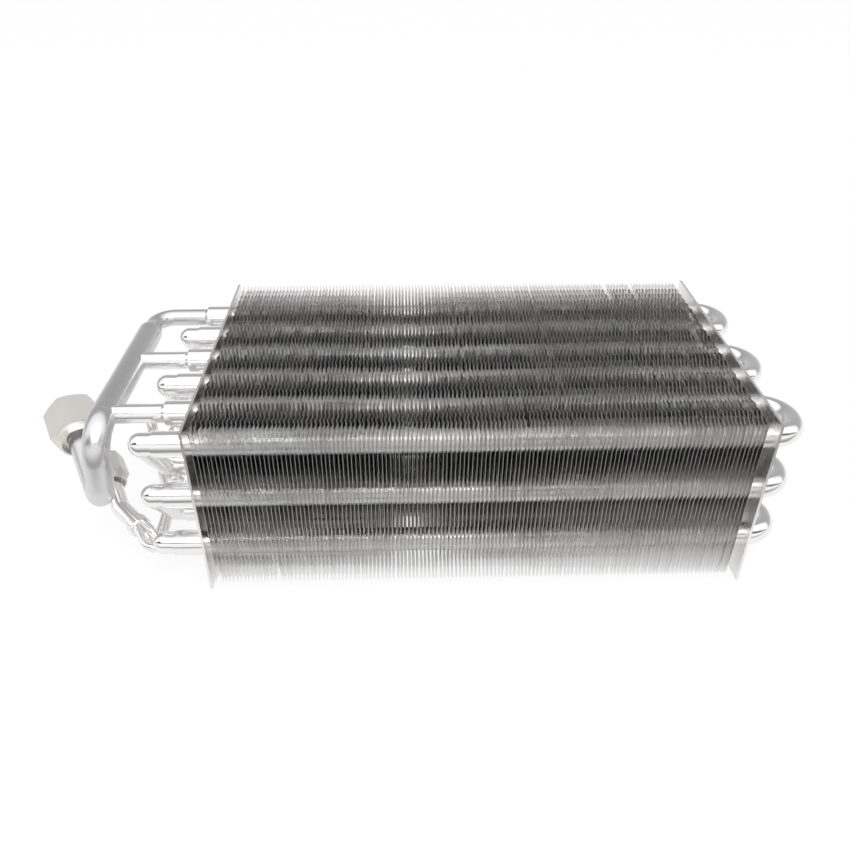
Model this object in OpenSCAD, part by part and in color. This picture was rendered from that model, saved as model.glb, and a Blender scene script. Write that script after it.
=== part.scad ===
/* [Core] */
// Width of the core over the outer faces of the two end plates
core_w = 225; // [150:1:320]
// Thickness of an end plate
plate_t = 1; // [0.8:0.1:2]
// Height of an end plate
plate_h = 80; // [78:1:90]
// Depth of an end plate, along the air flow
plate_d = 132; // [131:1:150]

/* [Fins] */
// Depth of a fin, along the air flow
fin_d = 130; // [128:1:131]
// Height of a fin
fin_h = 76.2; // [74:0.1:77]
// Thickness of the fin sheet
fin_t = 0.2; // [0.15:0.05:0.4]
// Distance from one fin to the next
fin_pitch = 1.65; // [1.5:0.05:4]
// Height of the fold ridges to either side of the sheet
fold_h = 0.45; // [0.2:0.05:0.6]
// Width of the flat strip round each column of tubes
flat_w = 11; // [10.5:0.5:14]
// How far the fins stand below the top edge of the end plates
fin_drop = 0.5; // [0:0.1:1]
// Air gap between the left end plate and the first fin
left_gap = 2; // [1.2:0.1:5]
// Air gap between the last fin and the right end plate
right_gap = 3; // [1.2:0.1:5]

/* [Tubes] */
// Number of tube columns, one behind the other
columns = 6; // [6:2:6]
// Number of tube rows, one above the other
rows = 3; // [3:1:3]
// Distance between tube columns
col_pitch = 22; // [21:0.5:23]
// Distance between tube rows
row_pitch = 25.4; // [24:0.1:26]
// Distance from the top edge of a fin to the top row of tubes
top_margin = 12; // [10:0.5:13]
// Outer diameter of the core tubes
tube_od = 9.5; // [8:0.1:9.8]
// Wall of the core tubes
tube_wall = 0.5; // [0.4:0.1:1]
// Straight length of a hairpin outside the right end plate
hairpin_reach = 2.5; // [1:0.5:6]
// Length of a bell outside the left end plate
bell_l = 14; // [11:0.5:18]
// How deep the connecting tubes sit in the bells
seat_depth = 8; // [5:0.5:9]
// Clearance round a tube in a fin, a bell, a plate or a wall
fit_gap = 0.05; // [0.02:0.01:0.1]

/* [Suction line] */
// Outer diameter of the suction manifold
manifold_od = 11; // [10:0.5:12]
// Wall of the suction manifold
manifold_wall = 1; // [0.8:0.1:1.5]
// Outer diameter of the suction branches
branch_od = 8; // [7:0.5:9]
// Wall of the suction branches
branch_wall = 0.8; // [0.6:0.1:1]
// Distance from the left end plate to the axis of the manifold
manifold_x = 39.5; // [38:0.5:50]
// How far the manifold runs on in front of the branch of the fifth column
manifold_run = 15.5; // [15:0.5:24]
// How far the manifold drops to its lower bend
manifold_drop = 36; // [33:0.5:38]
// How far the lower bend leans outwards
manifold_lean = 3.5; // [2:0.5:7]
// Bend radius at the upper front bend of the manifold
manifold_bend = 13; // [12:0.5:14]
// Bend radius at the lower bend of the manifold
lower_bend = 9; // [7.5:0.5:12]
// Bend radius of the narrowed rear end of the manifold
rear_bend = 9; // [8:0.5:11]
// Distance from the lower bend to the rear face of the suction nut
suction_run = 37.5; // [37:0.5:45]

/* [Liquid line] */
// Outer diameter of the liquid pipe
liquid_od = 8; // [7:0.5:9]
// Wall of the liquid pipe
liquid_wall = 1; // [0.8:0.1:1.5]
// Bend radius of the liquid pipe
liquid_bend = 9; // [8:0.5:12]
// Distance from the bend of the liquid pipe to the rear face of the liquid nut
liquid_run = 13.5; // [13:0.5:24]
// Outer diameter of the distributor
distributor_od = 9.6; // [9.4:0.2:12]
// Length of the distributor
distributor_l = 5; // [5:0.5:9]
// Outer diameter of a feeder tube
feeder_od = 3.6; // [3:0.1:3.7]
// Wall of a feeder tube
feeder_wall = 0.7; // [0.5:0.1:1]
// Bend radius of the feeder tubes
feeder_bend = 5.5; // [4.5:0.25:5.5]

/* [Union nuts] */
// Width across flats of the suction nut
suction_af = 21; // [20.5:0.5:25]
// Length of the suction nut
suction_nut_l = 20; // [18:0.5:26]
// Core diameter of the thread in the suction nut
suction_thread = 17.3; // [16.8:0.1:18]
// Width across flats of the liquid nut
liquid_af = 14.5; // [14:0.5:16]
// Length of the liquid nut
liquid_nut_l = 15; // [14:0.5:17]
// Core diameter of the thread in the liquid nut
liquid_thread = 10.4; // [10.2:0.1:11.5]
// Thickness of the bead that holds a nut on its pipe
bead_t = 1.5; // [1:0.1:2.5]
// Length of the pipe end in front of its bead
spigot_l = 2.5; // [2:0.5:3]

/* [Hidden] */
$fn = 48;
banks = 8;
left_x = -plate_t / 2;
right_x = left_x + core_w;
fin_top = plate_h - fin_drop;
fin_z0 = fin_top - fin_h;
first_fin_x = left_x + plate_t + left_gap + fold_h + fin_t / 2;
last_fin_x = right_x - plate_t - right_gap - fold_h - fin_t / 2;
fin_count = floor((last_fin_x - first_fin_x) / fin_pitch) + 1;
bank_size = ceil(fin_count / banks);
bell_id = tube_od + 2 * fit_gap;
bell_od = bell_id + 2 * tube_wall;
bell_cone = 1.5;
rim_x = left_x - bell_l;
seat_x = rim_x + seat_depth;
tube_id = tube_od - 2 * tube_wall;
elbow_x = rim_x - tube_od / 2 - 0.1;
// direction in which both pipes leave towards their union nuts
nut_dir = [-0.444, 0.834, 0.284] / norm([-0.444, 0.834, 0.284]);
manifold_axis_x = left_x - manifold_x;
// inside a union nut, from the rear face: the wide mouth, and the shoulder that the bead bears on
mouth_depth = 2.5;
shoulder = 5;
suction_mouth = manifold_od + 5.5;
liquid_mouth = liquid_od + 3;
nut_turn = 40;
// how a bend of a tube joins its straight runs
pinch = 0.05;
lap = 0.3;

// columns are counted from the rear, rows from the top
function tube_y(column) = ((columns + 1) / 2 - column) * col_pitch;
function tube_z(row) = fin_top - top_margin - (row - 1) * row_pitch;
function unit(v) = v / norm(v);
function turn_of(a, b, c) = acos(unit(b - a) * unit(c - b));
function tangent_of(a, b, c, bend) = bend * tan(turn_of(a, b, c) / 2);
// route of a bent tube: a list of corners, each with its own bend radius
function leave(route, bends, i) = i == 0 ? route[0]
    : route[i] + unit(route[i + 1] - route[i]) * tangent_of(route[i - 1], route[i], route[i + 1], bends[i]);
function reach(route, bends, i) = i == len(route) - 2 ? route[i + 1]
    : route[i + 1] + unit(route[i] - route[i + 1])
        * tangent_of(route[i], route[i + 1], route[i + 2], bends[i + 1]);

module aim(from, to) {
    d = unit(to - from);
    translate(from) rotate([0, acos(d[2]), atan2(d[1], d[0])]) children();
}
module rod(from, to, d, more = 0) {
    aim(from, to) translate([0, 0, -more]) cylinder(h = norm(to - from) + 2 * more, d = d);
}
// the bent stretch of a tube at corner b, between its neighbours a and c
module elbow(a, b, c, bend, od, id) {
    turn = turn_of(a, b, c);
    ey = unit(b - a);
    start = b - ey * bend * tan(turn / 2);
    centre = b + unit(unit(a - b) + unit(c - b)) * bend / cos(turn / 2);
    ex = unit(start - centre);
    ez = cross(ex, ey);
    multmatrix([[ex[0], ey[0], ez[0], centre[0]], [ex[1], ey[1], ez[1], centre[1]],
            [ex[2], ey[2], ez[2], centre[2]], [0, 0, 0, 1]])
        rotate_extrude(angle = turn) translate([bend, 0]) ring(od, id);
}
module ring(od, id) {
    difference() {
        circle(d = od);
        circle(d = id);
    }
}
module pipe(from, to, od, id) {
    aim(from, to) linear_extrude(norm(to - from)) ring(od, id);
}
// a tube bent round the corners of its route; a bend is thinner by the pinch on each side of its wall,
// and the straight runs lap over its ends
module bent_tube(route, bends, od, wall) {
    id = od - 2 * wall;
    last = len(route) - 2;
    for (i = [0 : last]) {
        from = leave(route, bends, i);
        to = reach(route, bends, i);
        along = unit(to - from) * lap;
        pipe(i == 0 ? from : from - along, i == last ? to : to + along, od, id);
    }
    for (i = [1 : last])
        elbow(route[i - 1], route[i], route[i + 1], bends[i], od - 2 * pinch, id + 2 * pinch);
}
// places its children with their z axis along +x, at a tube of the core
module at_tube(column, row, x) {
    translate([x, tube_y(column), tube_z(row)]) rotate([0, 90, 0]) children();
}

module tube_holes(d, x0, x1) {
    for (column = [1 : columns], row = [1 : rows])
        at_tube(column, row, x0) cylinder(h = x1 - x0, d = d);
}
module end_plate(x0) {
    color([0.86, 0.86, 0.87]) difference() {
        translate([x0, -plate_d / 2, 0]) cube([plate_t, plate_d, plate_h]);
        tube_holes(tube_od + 2 * fit_gap, x0 - 1, x0 + plate_t + 1);
    }
}
module left_end_plate() { end_plate(left_x); }
module right_end_plate() { end_plate(right_x - plate_t); }

// centre line of a fin, seen from above: flat at the tubes, folded between them
fold_w = col_pitch - flat_w;
fold_steps = [[0.13, 1], [0.38, -1], [0.62, 1], [0.87, -1]];
fin_line = concat(
    [[0, -fin_d / 2]],
    [for (i = [columns : -1 : 1]) each concat(
        i == columns ? [] : [[0, tube_y(i) - flat_w / 2]],
        i == 1 ? [] : [[0, tube_y(i) + flat_w / 2]],
        i == 1 ? [] : [for (s = fold_steps) [s[1] * fold_h, tube_y(i) + flat_w / 2 + s[0] * fold_w]])],
    [[0, fin_d / 2]]);
module fin_sheet(x) {
    front = [for (p = fin_line) [x + p[0] - fin_t / 2, p[1]]];
    back = [for (i = [len(fin_line) - 1 : -1 : 0]) [x + fin_line[i][0] + fin_t / 2, fin_line[i][1]]];
    difference() {
        translate([0, 0, fin_z0]) linear_extrude(fin_h) polygon(concat(front, back));
        tube_holes(tube_od + 2 * fit_gap, x - 1, x + 1);
    }
}
module fin_bank(bank) {
    first = (bank - 1) * bank_size;
    last = min(bank * bank_size, fin_count) - 1;
    color([0.75, 0.75, 0.76]) for (i = [first : last]) fin_sheet(first_fin_x + i * fin_pitch);
}
module fin_bank_1() { fin_bank(1); }
module fin_bank_2() { fin_bank(2); }
module fin_bank_3() { fin_bank(3); }
module fin_bank_4() { fin_bank(4); }
module fin_bank_5() { fin_bank(5); }
module fin_bank_6() { fin_bank(6); }
module fin_bank_7() { fin_bank(7); }
module fin_bank_8() { fin_bank(8); }

// one leg of a hairpin, with its bell at the left end
module hairpin_leg(column, row) {
    bell_end = bell_l - bell_cone;
    leg_end = core_w + bell_l + hairpin_reach;
    at_tube(column, row, rim_x) rotate_extrude() polygon([
        [bell_id / 2, 0], [bell_od / 2, 0], [bell_od / 2, bell_end], [tube_od / 2, bell_l],
        [tube_od / 2, leg_end], [tube_id / 2, leg_end], [tube_id / 2, bell_l], [bell_id / 2, bell_end]]);
}
module hairpin(column, row) {
    color([0.82, 0.82, 0.83]) {
        hairpin_leg(column, row);
        hairpin_leg(column + 1, row);
        translate([right_x + hairpin_reach, tube_y(column + 0.5), tube_z(row)]) rotate([0, 0, -90])
            rotate_extrude(angle = 180) translate([col_pitch / 2, 0]) ring(tube_od, tube_id);
    }
}
module hairpin_rear_top() { hairpin(1, 1); }
module hairpin_rear_middle() { hairpin(1, 2); }
module hairpin_rear_bottom() { hairpin(1, 3); }
module hairpin_middle_top() { hairpin(3, 1); }
module hairpin_middle_middle() { hairpin(3, 2); }
module hairpin_middle_bottom() { hairpin(3, 3); }
module hairpin_front_top() { hairpin(5, 1); }
module hairpin_front_middle() { hairpin(5, 2); }
module hairpin_front_bottom() { hairpin(5, 3); }

// tight pressed bend from one bell to the next one behind and below it
module return_run(column, row, d, start_x) {
    upper = [elbow_x, tube_y(column), tube_z(row)];
    lower = [elbow_x, tube_y(column - 1), tube_z(row + 1)];
    rod([start_x, upper[1], upper[2]], upper, d);
    rod(upper, lower, d);
    rod([start_x, lower[1], lower[2]], lower, d);
    translate(upper) sphere(d = d + 2 * pinch);
    translate(lower) sphere(d = d + 2 * pinch);
}
module return_bend(column, row) {
    color([0.82, 0.82, 0.83]) difference() {
        return_run(column, row, tube_od, seat_x);
        return_run(column, row, tube_id, seat_x + 1);
    }
}
module return_bend_rear_upper() { return_bend(2, 1); }
module return_bend_rear_lower() { return_bend(2, 2); }
module return_bend_middle_upper() { return_bend(4, 1); }
module return_bend_middle_lower() { return_bend(4, 2); }
module return_bend_front_upper() { return_bend(6, 1); }
module return_bend_front_lower() { return_bend(6, 2); }

// end of a branch, swaged out to fill the bell that it is brazed into; seen from the seat outwards
swage_l = 1.5;
function branch_outer(length) = [[tube_od / 2, 0], [tube_od / 2, seat_depth],
    [branch_od / 2, seat_depth + swage_l], [branch_od / 2, length]];
function branch_inner(length) = [for (i = [3 : -1 : 0])
    [branch_outer(length)[i][0] - branch_wall, branch_outer(length)[i][1]]];
module from_seat(column, points) {
    at_tube(column, 1, seat_x) rotate([180, 0, 0]) rotate_extrude() polygon(points);
}
branch_l = seat_x - manifold_axis_x - manifold_od / 2 + 2;
module suction_branch(column) {
    color([0.82, 0.82, 0.83]) from_seat(column, concat(branch_outer(branch_l), branch_inner(branch_l)));
}
module suction_branch_middle() { suction_branch(3); }
module suction_branch_front() { suction_branch(5); }

// the manifold is narrowed in front of its rear bend, from cone_y on
cone_l = 6;
cone_y = tube_y(1) - rear_bend - cone_l - 1;
swage_end_x = seat_x - seat_depth - swage_l;
rear_route = [[manifold_axis_x, cone_y + cone_l, tube_z(1)], [manifold_axis_x, tube_y(1), tube_z(1)],
    [swage_end_x, tube_y(1), tube_z(1)]];
front_y = tube_y(columns - 1) - manifold_run;
upper_corner = [manifold_axis_x, front_y, tube_z(1)];
lower_corner = upper_corner + [-manifold_lean, 0, -manifold_drop];
suction_nut_at = lower_corner + nut_dir * suction_run;
manifold_route = [[manifold_axis_x, cone_y, tube_z(1)], upper_corner, lower_corner,
    suction_nut_at + nut_dir * (shoulder + bead_t + spigot_l)];
module suction_manifold() {
    outer = manifold_od / 2 - pinch;
    inner = manifold_od / 2 - manifold_wall + pinch;
    thin = branch_od / 2 - pinch;
    thin_inner = branch_od / 2 - branch_wall + pinch;
    swage_l1 = seat_depth + swage_l;
    color([0.8, 0.8, 0.81]) {
        difference() {
            bent_tube(manifold_route, [0, manifold_bend, lower_bend, 0], manifold_od, manifold_wall);
            for (column = [3, 5]) at_tube(column, 1, manifold_axis_x)
                cylinder(h = manifold_od, d = branch_od + 2 * fit_gap);
        }
        translate([manifold_axis_x, cone_y, tube_z(1)]) rotate([-90, 0, 0]) rotate_extrude() polygon([
            [inner, -lap], [outer, -lap], [outer, 0], [thin, cone_l], [thin, cone_l + lap],
            [thin_inner, cone_l + lap], [thin_inner, cone_l], [inner, 0]]);
        bent_tube(rear_route, [0, rear_bend, 0], branch_od, branch_wall);
        from_seat(1, [[tube_od / 2, 0], [tube_od / 2, seat_depth], [thin, swage_l1], [thin, swage_l1 + lap],
            [thin_inner, swage_l1 + lap], [thin_inner, swage_l1],
            [tube_od / 2 - branch_wall, seat_depth], [tube_od / 2 - branch_wall, 0]]);
        pipe(suction_nut_at + nut_dir * (shoulder + fit_gap), suction_nut_at + nut_dir * (shoulder + bead_t),
            suction_thread - 0.4, manifold_od - manifold_wall);
    }
}

// union nut with its rear face at the origin and its thread opening at the far end
module union_nut(af, length, thread_d, pipe_od, mouth_d) {
    corner_r = af / 2 / cos(30);
    relief_end = shoulder + bead_t + spigot_l + 0.5;
    difference() {
        intersection() {
            cylinder(h = length, r = corner_r, $fn = 6);
            rotate_extrude() polygon([[0, 0], [mouth_d / 2 + 0.8, 0], [af / 2 - 0.6, 1.6],
                [af / 2 - 0.3, 3.2], [corner_r + 0.1, 4.6], [corner_r + 0.1, length - 1.2],
                [af / 2 - 0.4, length], [0, length]]);
        }
        translate([0, 0, -1]) cylinder(h = length + 2, d = pipe_od + 0.5);
        translate([0, 0, -1]) cylinder(h = mouth_depth + 1, d = mouth_d);
        translate([0, 0, shoulder]) cylinder(h = relief_end - shoulder, d = thread_d + 0.8);
        translate([0, 0, relief_end]) cylinder(h = length, d = thread_d);
    }
}
module suction_nut() {
    color([0.84, 0.83, 0.8]) aim(suction_nut_at, suction_nut_at + nut_dir) rotate([0, 0, nut_turn])
        union_nut(suction_af, suction_nut_l, suction_thread, manifold_od, suction_mouth);
}

// where a feeder enters its column: in the bottom row, at the front one low in the dome
function inlet_shift(column) = column == columns ? [0, -1.2, -1.8] : [0, 0, 0];
function inlet_at(column, x) = [x, tube_y(column), tube_z(rows)] + inlet_shift(column);
inlet_depth = tube_od / 2 - 1;
distributor_dir = unit([0.709, -0.697, -0.121]);
// across the distributor: one axis level and to the front, the other upwards
across = unit(cross(distributor_dir, [0, 0, 1]));
upward = cross(across, distributor_dir);
feeder_angles = [20, 140, 260];
outlet_r = feeder_od * 0.65;
function outlet_shift(angle) = (across * cos(angle) + upward * sin(angle)) * outlet_r;
// where the distributor ends, seen from the elbow centre of the front column's bottom tube
distributor_place = [-12.3, 9.5, 0];
distributor_end = [elbow_x, tube_y(columns), tube_z(rows)] + distributor_place;
distributor_at = distributor_end - distributor_dir * distributor_l;
outlet_depth = 2.2;
liquid_socket = 2.2;
function outlet(angle) = distributor_end + outlet_shift(angle) - distributor_dir * (outlet_depth - 0.1);
function before_outlet(angle, distance) = distributor_end + outlet_shift(angle) + distributor_dir * distance;
liquid_approach = 11.5;
liquid_corner = distributor_at - distributor_dir * liquid_approach;
liquid_nut_at = liquid_corner + nut_dir * liquid_run;
liquid_route = [distributor_at + distributor_dir * (liquid_socket - 0.1), liquid_corner,
    liquid_nut_at + nut_dir * (shoulder + bead_t + spigot_l)];
module liquid_pipe() {
    color([0.82, 0.82, 0.83]) {
        bent_tube(liquid_route, [0, liquid_bend, 0], liquid_od, liquid_wall);
        pipe(liquid_nut_at + nut_dir * (shoulder + fit_gap), liquid_nut_at + nut_dir * (shoulder + bead_t),
            liquid_thread - 0.4, liquid_od - liquid_wall);
    }
}
module liquid_nut() {
    color([0.84, 0.83, 0.8]) aim(liquid_nut_at, liquid_nut_at + nut_dir) rotate([0, 0, nut_turn])
        union_nut(liquid_af, liquid_nut_l, liquid_thread, liquid_od, liquid_mouth);
}
module distributor() {
    color([0.82, 0.82, 0.83]) difference() {
        aim(distributor_at, distributor_end) rotate_extrude() polygon([
            [0, 0], [distributor_od / 2 - 0.8, 0], [distributor_od / 2, 0.8],
            [distributor_od / 2, distributor_l - 0.6], [distributor_od / 2 - 0.3, distributor_l],
            [0, distributor_l]]);
        rod(distributor_at - distributor_dir, distributor_at + distributor_dir * liquid_socket,
            liquid_od + 2 * fit_gap);
        for (angle = feeder_angles)
            rod(before_outlet(angle, -outlet_depth), before_outlet(angle, 1), feeder_od + 2 * fit_gap);
        for (angle = feeder_angles)
            rod(before_outlet(angle, liquid_socket - distributor_l - 0.5), before_outlet(angle, -1),
                feeder_od - 2 * feeder_wall);
    }
}

// domed end of an inlet, closed down from the bell to the feeder
module inlet_reducer(column) {
    centre = [elbow_x, tube_y(column), tube_z(rows)];
    seat = [seat_x, tube_y(column), tube_z(rows)];
    color([0.82, 0.82, 0.83]) difference() {
        union() {
            rod(seat, centre, tube_od);
            translate(centre) sphere(d = tube_od + 2 * pinch);
        }
        rod(seat + [1, 0, 0], centre, tube_id);
        rod(inlet_at(column, elbow_x + 1), inlet_at(column, elbow_x - tube_od), feeder_od + 2 * fit_gap);
    }
}
module inlet_reducer_rear() { inlet_reducer(2); }
module inlet_reducer_middle() { inlet_reducer(4); }
module inlet_reducer_front() { inlet_reducer(6); }

// the front feeder runs straight across, the middle one rises to an equalising loop,
// and the rear one passes below the bends
tight_bend = 4.5;
loop_x = elbow_x - 7.15;
loop_y = tube_y(4) - col_pitch / 2;
loop_top = tube_z(1) - 9.5;
middle_x = loop_x - 3.4;
middle_low = 7.5;
rear_x = loop_x - 4.5;
rear_low = 4.5;
rear_rise = 0.5;
middle_turn = before_outlet(feeder_angles[1], 8.8);
rear_turn = before_outlet(feeder_angles[2], 4.6);
front_turn = before_outlet(feeder_angles[0], 3);
front_feeder = [outlet(feeder_angles[0]), front_turn, inlet_at(6, elbow_x - 7.7),
    inlet_at(6, elbow_x - inlet_depth + 1)];
middle_feeder = [outlet(feeder_angles[1]), middle_turn, [middle_turn[0], middle_turn[1], middle_low],
    [loop_x, loop_y, middle_low], [loop_x, loop_y, loop_top], [middle_x, tube_y(4), loop_top],
    inlet_at(4, middle_x), inlet_at(4, elbow_x - inlet_depth + 1)];
rear_feeder = [outlet(feeder_angles[2]), rear_turn, [rear_turn[0], rear_turn[1], rear_low],
    [rear_x, tube_y(2) - 9, rear_low + rear_rise], inlet_at(2, rear_x + 2), inlet_at(2, elbow_x - inlet_depth + 1)];
module feeder_tube(route, bends) {
    color([0.8, 0.8, 0.81]) bent_tube(route, bends, feeder_od, feeder_wall);
}
module feeder_tube_front() { feeder_tube(front_feeder, [0, feeder_bend, feeder_bend, 0]); }
module feeder_tube_middle() {
    feeder_tube(middle_feeder,
        [0, tight_bend, tight_bend, feeder_bend, feeder_bend, feeder_bend, feeder_bend, 0]);
}
module feeder_tube_rear() {
    feeder_tube(rear_feeder, [0, tight_bend, tight_bend, feeder_bend, tight_bend, 0]);
}

left_end_plate();
right_end_plate();
fin_bank_1();
fin_bank_2();
fin_bank_3();
fin_bank_4();
fin_bank_5();
fin_bank_6();
fin_bank_7();
fin_bank_8();
hairpin_rear_top();
hairpin_rear_middle();
hairpin_rear_bottom();
hairpin_middle_top();
hairpin_middle_middle();
hairpin_middle_bottom();
hairpin_front_top();
hairpin_front_middle();
hairpin_front_bottom();
return_bend_rear_upper();
return_bend_rear_lower();
return_bend_middle_upper();
return_bend_middle_lower();
return_bend_front_upper();
return_bend_front_lower();
suction_manifold();
suction_branch_middle();
suction_branch_front();
suction_nut();
liquid_pipe();
liquid_nut();
distributor();
inlet_reducer_rear();
inlet_reducer_middle();
inlet_reducer_front();
feeder_tube_rear();
feeder_tube_middle();
feeder_tube_front();
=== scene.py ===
import math
import random

import bpy
from mathutils import Matrix, Vector


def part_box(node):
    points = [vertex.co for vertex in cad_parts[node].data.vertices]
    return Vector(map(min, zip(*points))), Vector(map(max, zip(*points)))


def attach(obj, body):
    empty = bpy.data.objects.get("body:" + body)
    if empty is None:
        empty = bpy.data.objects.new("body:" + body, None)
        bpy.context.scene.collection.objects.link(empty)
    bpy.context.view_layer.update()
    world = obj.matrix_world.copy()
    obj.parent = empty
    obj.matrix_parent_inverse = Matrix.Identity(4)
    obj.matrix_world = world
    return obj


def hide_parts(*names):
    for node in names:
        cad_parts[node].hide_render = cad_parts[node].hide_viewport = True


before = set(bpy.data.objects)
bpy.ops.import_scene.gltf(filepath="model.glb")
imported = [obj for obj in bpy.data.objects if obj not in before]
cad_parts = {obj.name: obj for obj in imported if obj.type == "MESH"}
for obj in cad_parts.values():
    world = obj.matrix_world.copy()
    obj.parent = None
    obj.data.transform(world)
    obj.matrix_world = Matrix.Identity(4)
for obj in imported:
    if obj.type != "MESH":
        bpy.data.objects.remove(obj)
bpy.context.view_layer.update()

# --- Camera ---
# The core stands on white; the photograph looks down on its front from a little left of its middle.
picture_px = 850
focal_px = 795.7
film_mm = 36
camera_place = (0.084, -0.3083, 0.2459)
pitch, yaw, roll = math.radians(34.02), math.radians(1.47), math.radians(-0.06)
ahead = Vector((math.sin(yaw) * math.cos(pitch), math.cos(yaw) * math.cos(pitch), -math.sin(pitch)))
right = Vector((math.cos(yaw), -math.sin(yaw), 0))
down = ahead.cross(right)
right, down = (math.cos(roll) * right + math.sin(roll) * down,
               math.cos(roll) * down - math.sin(roll) * right)
lens_data = bpy.data.cameras.new("camera")
lens_data.sensor_width = film_mm
lens_data.lens = film_mm * focal_px / picture_px
lens_data.clip_start, lens_data.clip_end = 0.01, 20
camera = bpy.data.objects.new("camera", lens_data)
bpy.context.collection.objects.link(camera)
camera.matrix_world = Matrix.Translation(camera_place) @ Matrix(
    ((right.x, -down.x, -ahead.x), (right.y, -down.y, -ahead.y), (right.z, -down.z, -ahead.z))).to_4x4()
bpy.context.scene.camera = camera
bpy.context.scene.view_settings.view_transform = "Standard"

# --- Table and light ---
# A white table without an edge and one wide soft lamp. The bare metal mirrors the room more than it
# takes its own colour, so it is shown a room with white, grey and dark parts instead of plain white.
table_size = 6
table_drop = 0.0002
table_white = 0.9
table_glow = 0.9
mirrored_glow = 0.8
# painted reflection: where the table's greys lie and how dark they are, shown to glossy rays only
painted_strip_from, painted_strip_to = -0.5, 0.0
painted_strip_greys = ((0.3, 0.5), (0.48, 0.1), (0.7, 0.1), (0.78, 0.9))


def nodes_of(material):
    material.use_nodes = True
    tree = material.node_tree
    tree.nodes.clear()
    return tree


def node(tree, kind, inputs=(), **settings):
    made = tree.nodes.new(kind)
    for name, value in settings.items():
        setattr(made, name, value)
    for key, value in dict(inputs).items():
        if isinstance(value, bpy.types.NodeSocket):
            tree.links.new(value, made.inputs[key])
        else:
            made.inputs[key].default_value = value
    return made


def deselect():
    if bpy.context.object and bpy.context.object.mode != "OBJECT":
        bpy.ops.object.mode_set(mode="OBJECT")
    bpy.ops.object.select_all(action="DESELECT")


deselect()
bpy.ops.mesh.primitive_plane_add(size=table_size, location=(0.1, 0, -table_drop))
table = bpy.context.object
table.name = "table"
bpy.ops.object.transform_apply(location=True, rotation=True, scale=True)
white = bpy.data.materials.new("white_table_with_painted_reflection")
tree = nodes_of(white)
path = node(tree, "ShaderNodeLightPath")
glossy, direct = path.outputs["Is Glossy Ray"], path.outputs["Is Camera Ray"]
mirrored = node(tree, "ShaderNodeMath", {0: glossy, 1: mirrored_glow}, operation="MULTIPLY")
plain = node(tree, "ShaderNodeMath", {0: direct, 1: table_glow}, operation="MULTIPLY")
glow = node(tree, "ShaderNodeMath", {0: mirrored.outputs[0], 1: plain.outputs[0]}, operation="MAXIMUM")
matt = node(tree, "ShaderNodeBsdfDiffuse", {"Color": (table_white, table_white, table_white, 1)})
# painted reflection: greys painted on the table in front of the core, seen only by glossy rays, so that the
# metal mirrors a dark strip there
place = node(tree, "ShaderNodeTexCoord")
split = node(tree, "ShaderNodeSeparateXYZ", {0: place.outputs["Object"]})
away = node(tree, "ShaderNodeMapRange", {0: split.outputs["Y"], 1: painted_strip_from, 2: painted_strip_to, 3: 0.0, 4: 1.0})
painted_reflection_ramp = node(tree, "ShaderNodeValToRGB", {0: away.outputs[0]})
painted_strip_stops = painted_reflection_ramp.color_ramp.elements
for number, (spot, grey) in enumerate((painted_strip_greys[0], painted_strip_greys[-1])):
    painted_strip_stops[number].position, painted_strip_stops[number].color = spot, (grey, grey, grey, 1)
for spot, grey in painted_strip_greys[1:-1]:
    shade = painted_strip_stops.new(spot)
    shade.color = (grey, grey, grey, 1)
# camera rays see the table plain white; glossy rays see the painted reflection greys
table_colour_with_painted_reflection = node(tree, "ShaderNodeMixRGB", {0: direct, 1: painted_reflection_ramp.outputs[0], 2: (1, 1, 1, 1)})
table_glow_with_painted_reflection = node(tree, "ShaderNodeEmission", {"Color": table_colour_with_painted_reflection.outputs[0], "Strength": 1.0})
both = node(tree, "ShaderNodeMixShader", {0: glow.outputs[0], 1: matt.outputs[0], 2: table_glow_with_painted_reflection.outputs[0]})
node(tree, "ShaderNodeOutputMaterial", {"Surface": both.outputs[0]})
table.data.materials.append(white)

world = bpy.data.worlds.new("room")
bpy.context.scene.world = world
tree = nodes_of(world)
path = node(tree, "ShaderNodeLightPath")
way = node(tree, "ShaderNodeTexCoord")
split = node(tree, "ShaderNodeSeparateXYZ", {0: way.outputs["Generated"]})
forward = node(tree, "ShaderNodeMath", {0: split.outputs["Y"], 1: -1.0}, operation="MULTIPLY")
turn = node(tree, "ShaderNodeMath", {0: split.outputs["Z"], 1: forward.outputs[0]}, operation="ARCTAN2")
over = node(tree, "ShaderNodeMapRange", {0: turn.outputs[0], 1: 0.0, 2: math.pi, 3: 0.0, 4: 1.0})
room = node(tree, "ShaderNodeValToRGB", {0: over.outputs[0]})
# from the front horizon up and over: light wall, dark room, white ceiling, grey wall behind the core
front_wall, back_wall = 0.8, 0.5
overhead = ((0.16, 0.9), (0.19, 0.06), (0.28, 0.06), (0.33, 1.0), (0.63, 1.0), (0.68, 0.3))
blue = 1.01
room_glow = 1.2
bands = room.color_ramp.elements
bands[0].position, bands[0].color = 0.0, (front_wall, front_wall, front_wall, 1)
bands[1].position, bands[1].color = 1.0, (back_wall, back_wall, back_wall, 1)
for spot, grey in overhead:
    band = bands.new(spot)
    band.color = (grey, grey, grey * blue, 1)
seen = node(tree, "ShaderNodeBackground", {"Color": (1, 1, 1, 1), "Strength": 1.0})
mirror = node(tree, "ShaderNodeBackground", {"Color": room.outputs[0], "Strength": room_glow})
glossy = path.outputs["Is Glossy Ray"]
back = node(tree, "ShaderNodeMixShader", {0: glossy, 1: seen.outputs[0], 2: mirror.outputs[0]})
node(tree, "ShaderNodeOutputWorld", {"Surface": back.outputs[0]})


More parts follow.
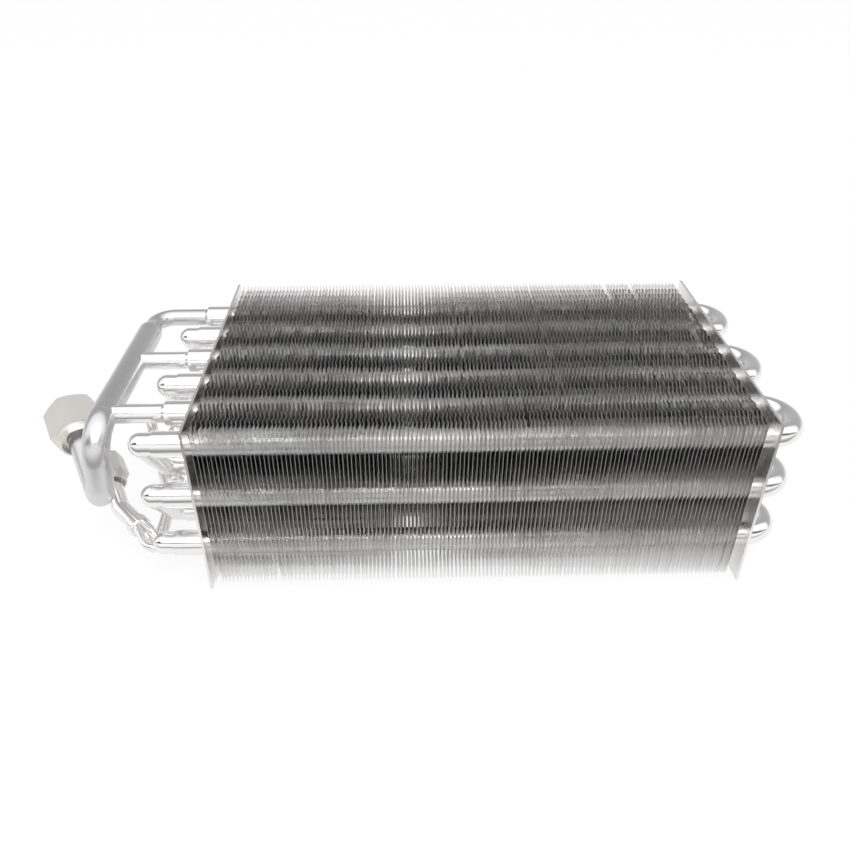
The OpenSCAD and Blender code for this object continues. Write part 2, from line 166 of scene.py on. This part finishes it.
def soft_light(name, place, aim, size, power):
    lamp = bpy.data.lights.new(name, "AREA")
    lamp.shape = "RECTANGLE"
    lamp.size, lamp.size_y = size
    lamp.energy = power
    holder = bpy.data.objects.new(name, lamp)
    bpy.context.collection.objects.link(holder)
    holder.location = place
    holder.rotation_euler = (Vector(aim) - Vector(place)).to_track_quat("-Z", "Y").to_euler()


soft_light("big_lamp", (0.15, -0.6, 0.95), (0.1, 0, 0.03), (1.2, 0.7), 7)
# light goes to and fro between the bright fins many times
light_paths = bpy.context.scene.cycles
light_paths.max_bounces = 24
light_paths.glossy_bounces = 20

# --- End plates ---
# Two flat sheets of rolled aluminium, sheared to size and pierced for the tubes, with a fine grain
# along the rolling. The tubes are pushed through them, and the whole core stands on them.
grain_size = 900
grain_strength = 0.35
patch_size = 60.0
dulling = (0.6, 1.0, 1.3)


def aluminium(name, colour, roughness, spread, grain=(1, 1, 1), bump=0.0, tint=0.0, metal=1.0):
    material = bpy.data.materials.new(name)
    tree = nodes_of(material)
    place = node(tree, "ShaderNodeTexCoord")
    along = node(tree, "ShaderNodeMapping", {"Vector": place.outputs["Object"], "Scale": grain})
    fine = node(tree, "ShaderNodeTexNoise", {
        "Vector": along.outputs[0], "Scale": grain_size, "Detail": 3.0, "Roughness": 0.6})
    broad = node(tree, "ShaderNodeTexNoise", {
        "Vector": place.outputs["Object"], "Scale": patch_size, "Detail": 4.0})
    rough = node(tree, "ShaderNodeMapRange", {
        0: broad.outputs[0], 1: 0.3, 2: 0.7, 3: roughness - spread, 4: roughness + spread})
    dull = tuple(part * (1 - tint * share) for part, share in zip(colour, dulling))
    shade = node(tree, "ShaderNodeMixRGB", {0: broad.outputs[0], 1: (*colour, 1), 2: (*dull, 1)})
    skin = node(tree, "ShaderNodeBsdfPrincipled", {
        "Base Color": shade.outputs[0], "Metallic": metal, "Roughness": rough.outputs[0]})
    if bump:
        relief = node(tree, "ShaderNodeBump", {
            "Height": fine.outputs[0], "Strength": grain_strength, "Distance": bump})
        tree.links.new(relief.outputs[0], skin.inputs["Normal"])
    node(tree, "ShaderNodeOutputMaterial", {"Surface": skin.outputs[0]})
    return material


def dress(name, material):
    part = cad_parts[name]
    part.data.materials.clear()
    part.data.materials.append(material)


sheet = aluminium("rolled_sheet", (0.9, 0.9, 0.9), 0.28, 0.06, grain=(1, 0.15, 1), bump=0.00004, tint=0.05)
for name in ("left_end_plate", "right_end_plate"):
    dress(name, sheet)

# --- Fins ---
# Thin aluminium sheets, each stamped with a collar round every tube hole and folded into small ridges
# between the columns, so that the air is turned over. They are pressed on to the tubes one after the
# other, collar against sheet, and bend at a touch.
fin_pitch = 0.00165
sheet_t = 0.00015
fold_h = 0.00045
collar_l = 0.00135
collar_r = 0.0048
ring_r = 0.0062
col_pitch = 0.022
row_pitch = 0.0254
columns, rows = 6, 3
first_row = 0.012
folds_each = 8
outer_folds = 3
hair = 1e-5
near = 1e-4
fin_low, fin_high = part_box("fin_bank_1")
tube_y = [((columns - 1) / 2 - i) * col_pitch for i in range(columns)]
tube_z = [fin_high[2] - first_row - i * row_pitch for i in range(rows)]
fold_step = col_pitch / folds_each


def cut(place, normal):
    bpy.ops.mesh.select_all(action="SELECT")
    bpy.ops.mesh.bisect(plane_co=place, plane_no=normal)


def pick(part, wanted):
    bpy.ops.mesh.select_all(action="DESELECT")
    bpy.ops.object.mode_set(mode="OBJECT")
    for point in part.data.vertices:
        point.select = wanted(point.co)
    bpy.ops.object.mode_set(mode="EDIT")


def off_axis(point, y, z):
    return math.hypot(point.y - y, point.z - z)


def from_tubes(point):
    return min(off_axis(point, y, z) for y in tube_y for z in tube_z)


deselect()
bpy.ops.mesh.primitive_plane_add(
    size=1, location=(0, 0, (fin_low[2] + fin_high[2]) / 2), rotation=(0, math.pi / 2, 0))
fin = bpy.context.object
fin.scale = (fin_high[2] - fin_low[2], fin_high[1] - fin_low[1], 1)
bpy.ops.object.transform_apply(location=True, rotation=True, scale=True)
bpy.ops.object.mode_set(mode="EDIT")
bpy.ops.mesh.select_mode(type="VERT")
for z in tube_z:
    cut((0, 0, z), (0, 0, 1))
for y in tube_y:
    cut((0, y, 0), (0, 1, 0))
pick(fin, lambda point: from_tubes(point) < hair)
# each crossing opens into a bevelled hole, which is then rounded to the collar's width
bpy.ops.mesh.bevel(affect="VERTICES", offset=collar_r, segments=4, profile=0.25)
inner_share = 0.68
for y in tube_y:
    for z in tube_z:
        pick(fin, lambda point: off_axis(point, y, z) < collar_r * inner_share)
        bpy.ops.mesh.delete(type="VERT")
        pick(fin, lambda point: off_axis(point, y, z) < collar_r + near)
        bpy.ops.transform.tosphere(value=1)
        bpy.ops.object.mode_set(mode="OBJECT")
        ring = [off_axis(point.co, y, z) for point in fin.data.vertices if point.select]
        bpy.ops.object.mode_set(mode="EDIT")
        grow = collar_r * len(ring) / sum(ring)
        bpy.ops.transform.resize(value=(1, grow, grow), center_override=(0, y, z))
round_tubes = [z + side * ring_r for z in tube_z for side in (-1, 1)]
between_rows = [z - row_pitch / 2 for z in tube_z[:-1]]
for z in round_tubes + between_rows:
    cut((0, 0, z), (0, 0, 1))
last_fold = (columns - 1) * folds_each + outer_folds
folds = [tube_y[-1] + step * fold_step for step in range(-outer_folds, last_fold + 1)]
for line in folds:
    cut((0, line, 0), (0, 1, 0))
for side in (0, 1):
    lines = folds[1 - side::2]
    pick(fin, lambda point: (min(abs(point.y - line) for line in lines) < hair
                             and from_tubes(point) > ring_r - near))
    bpy.ops.transform.translate(value=((0.5 - side) * 2 * fold_h, 0, 0))
pick(fin, lambda point: from_tubes(point) < collar_r + hair)
bpy.ops.mesh.select_mode(type="EDGE")
bpy.ops.mesh.extrude_region_move(TRANSFORM_OT_translate={"value": (collar_l, 0, 0)})
bpy.ops.mesh.select_mode(type="VERT")
bpy.ops.object.mode_set(mode="OBJECT")
thickness = fin.modifiers.new("sheet", "SOLIDIFY")
thickness.thickness = sheet_t
thickness.offset = 1
bpy.ops.object.modifier_apply(modifier="sheet")
smooth_below = math.radians(30)
bpy.ops.object.shade_smooth_by_angle(angle=smooth_below)

foil = aluminium("fin_foil", (0.95, 0.95, 0.95), 0.16, 0.05, grain=(1, 1, 0.2), bump=0.00002, tint=0.03)
# painted light: the collars are the same foil as the fins, but get a whiter, half-metallic copy of its
# aluminium so that they look lit by the light that bounces down between the fins
collar = aluminium("collar_painted_light", (0.97, 0.97, 0.97), 0.3, 0.06, bump=0.00003, tint=0.02, metal=0.45)
cut_edge = aluminium("sheared_edge", (0.66, 0.66, 0.67), 0.42, 0.08, bump=0.00003, tint=0.03)
for material in (foil, collar, cut_edge):
    fin.data.materials.append(material)
sideways = 0.3
# the faces round each tube take the collar copy with its painted light; the thin faces standing sideways
# take the sheared edge
for face in fin.data.polygons:
    if from_tubes(face.center) < collar_r + sheet_t * 1.2:
        face.material_index = 1
    elif abs(face.normal.x) < sideways:
        face.material_index = 2

# where fins were knocked: x, y and z of the middle, how far the dent reaches, how far the nearest fin
# is pushed away. The fins next to it give way less and less.
front, rear, top, foot = fin_low[1], fin_high[1], fin_high[2], fin_low[2]
knocks = [
    (0.0285, front, foot, 0.009, 0.0008),
    (0.0045, front, foot, 0.008, 0.0009),
    (0.129, front + 0.008, top, 0.007, 0.0006),
    (0.184, rear, top, 0.014, 0.0009),
    (0.197, rear, top, 0.012, 0.0008),
    (0.0035, rear, top, 0.008, -0.0004),
    (0.221, front, foot, 0.012, 0.0007),
    (0.213, 0.012, top, 0.008, 0.0007),
    (0.0055, front, top, 0.007, 0.0006),
    (0.2175, 0.03, top, 0.006, 0.0006),
]
knock_width = 3.5 * fin_pitch
knock_core = 0.0032
stray = 0.00006
rim_stray, front_stray = 0.0002, 0.0001
banks_of_fins = 8
chance = random.Random(7)
for number in range(1, banks_of_fins + 1):
    low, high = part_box("fin_bank_%d" % number)
    count = round((high[0] - low[0] - 2 * fold_h) / fin_pitch) + 1
    copies = []
    for i in range(count):
        deselect()
        fin.select_set(True)
        bpy.context.view_layer.objects.active = fin
        bpy.ops.object.duplicate()
        sheet_copy = bpy.context.object
        sheet_copy.location.x = low[0] + fold_h + i * fin_pitch + chance.uniform(-1, 1) * stray
        bpy.ops.object.transform_apply(location=True, rotation=False, scale=False)
        bpy.ops.object.mode_set(mode="EDIT")
        for wanted, most in ((lambda point: point.z > top - near, rim_stray),
                             (lambda point: point.z < foot + near, rim_stray),
                             (lambda point: point.y < front + near, front_stray)):
            pick(sheet_copy, wanted)
            bpy.ops.transform.translate(value=(chance.uniform(-most, most), 0, 0))
        for middle, y, z, reach, push in knocks:
            away = (sheet_copy.data.vertices[0].co.x - middle) / knock_width
            if abs(away) < 1:
                pick(sheet_copy, lambda point: off_axis(point, y, z) < knock_core)
                bpy.ops.transform.translate(
                    value=(math.copysign(push * (1 - abs(away)), away), 0, 0), use_proportional_edit=True,
                    proportional_edit_falloff="SMOOTH", proportional_size=reach)
        bpy.ops.object.mode_set(mode="OBJECT")
        copies.append(sheet_copy)
    deselect()
    for sheet_copy in copies:
        sheet_copy.select_set(True)
    bpy.context.view_layer.objects.active = copies[0]
    bpy.ops.object.join()
    bank = bpy.context.object
    bank.name = "fins_%d" % number
    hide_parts("fin_bank_%d" % number)
    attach(bank, "root")
bpy.data.objects.remove(fin)

# --- Tubes ---
# Drawn aluminium tube, bright as it comes from the die. The hairpins go through the fins and are
# belled at the open end, where the return bends, branches, reducers and feeders are brazed in.
tube = aluminium("drawn_tube", (0.93, 0.93, 0.93), 0.16, 0.05, grain=(0.1, 1, 1), bump=0.00003, tint=0.04)
tube_pieces = ("hairpin", "return_bend", "suction_branch", "liquid_pipe", "distributor", "inlet", "feeder")
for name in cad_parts:
    if name.startswith(tube_pieces):
        dress(name, tube)

# --- Suction manifold ---
# One thick aluminium tube, bent over at the top and again to its nut, pierced for the branches. Its
# skin is duller than the thin tubes', from handling.
satin = aluminium("satin_tube", (0.72, 0.72, 0.73), 0.3, 0.05, bump=0.00003, tint=0.03)
dress("suction_manifold", satin)

# --- Union nuts ---
# Two hexagon nuts turned from aluminium bar and left as machined, held behind the beads of their
# pipes. The metal is matt with a warm cast.
matt_nut = aluminium("matt_nut", (0.76, 0.745, 0.71), 0.4, 0.06, bump=0.00006, tint=0.04, metal=0.85)
for name in ("suction_nut", "liquid_nut"):
    dress(name, matt_nut)
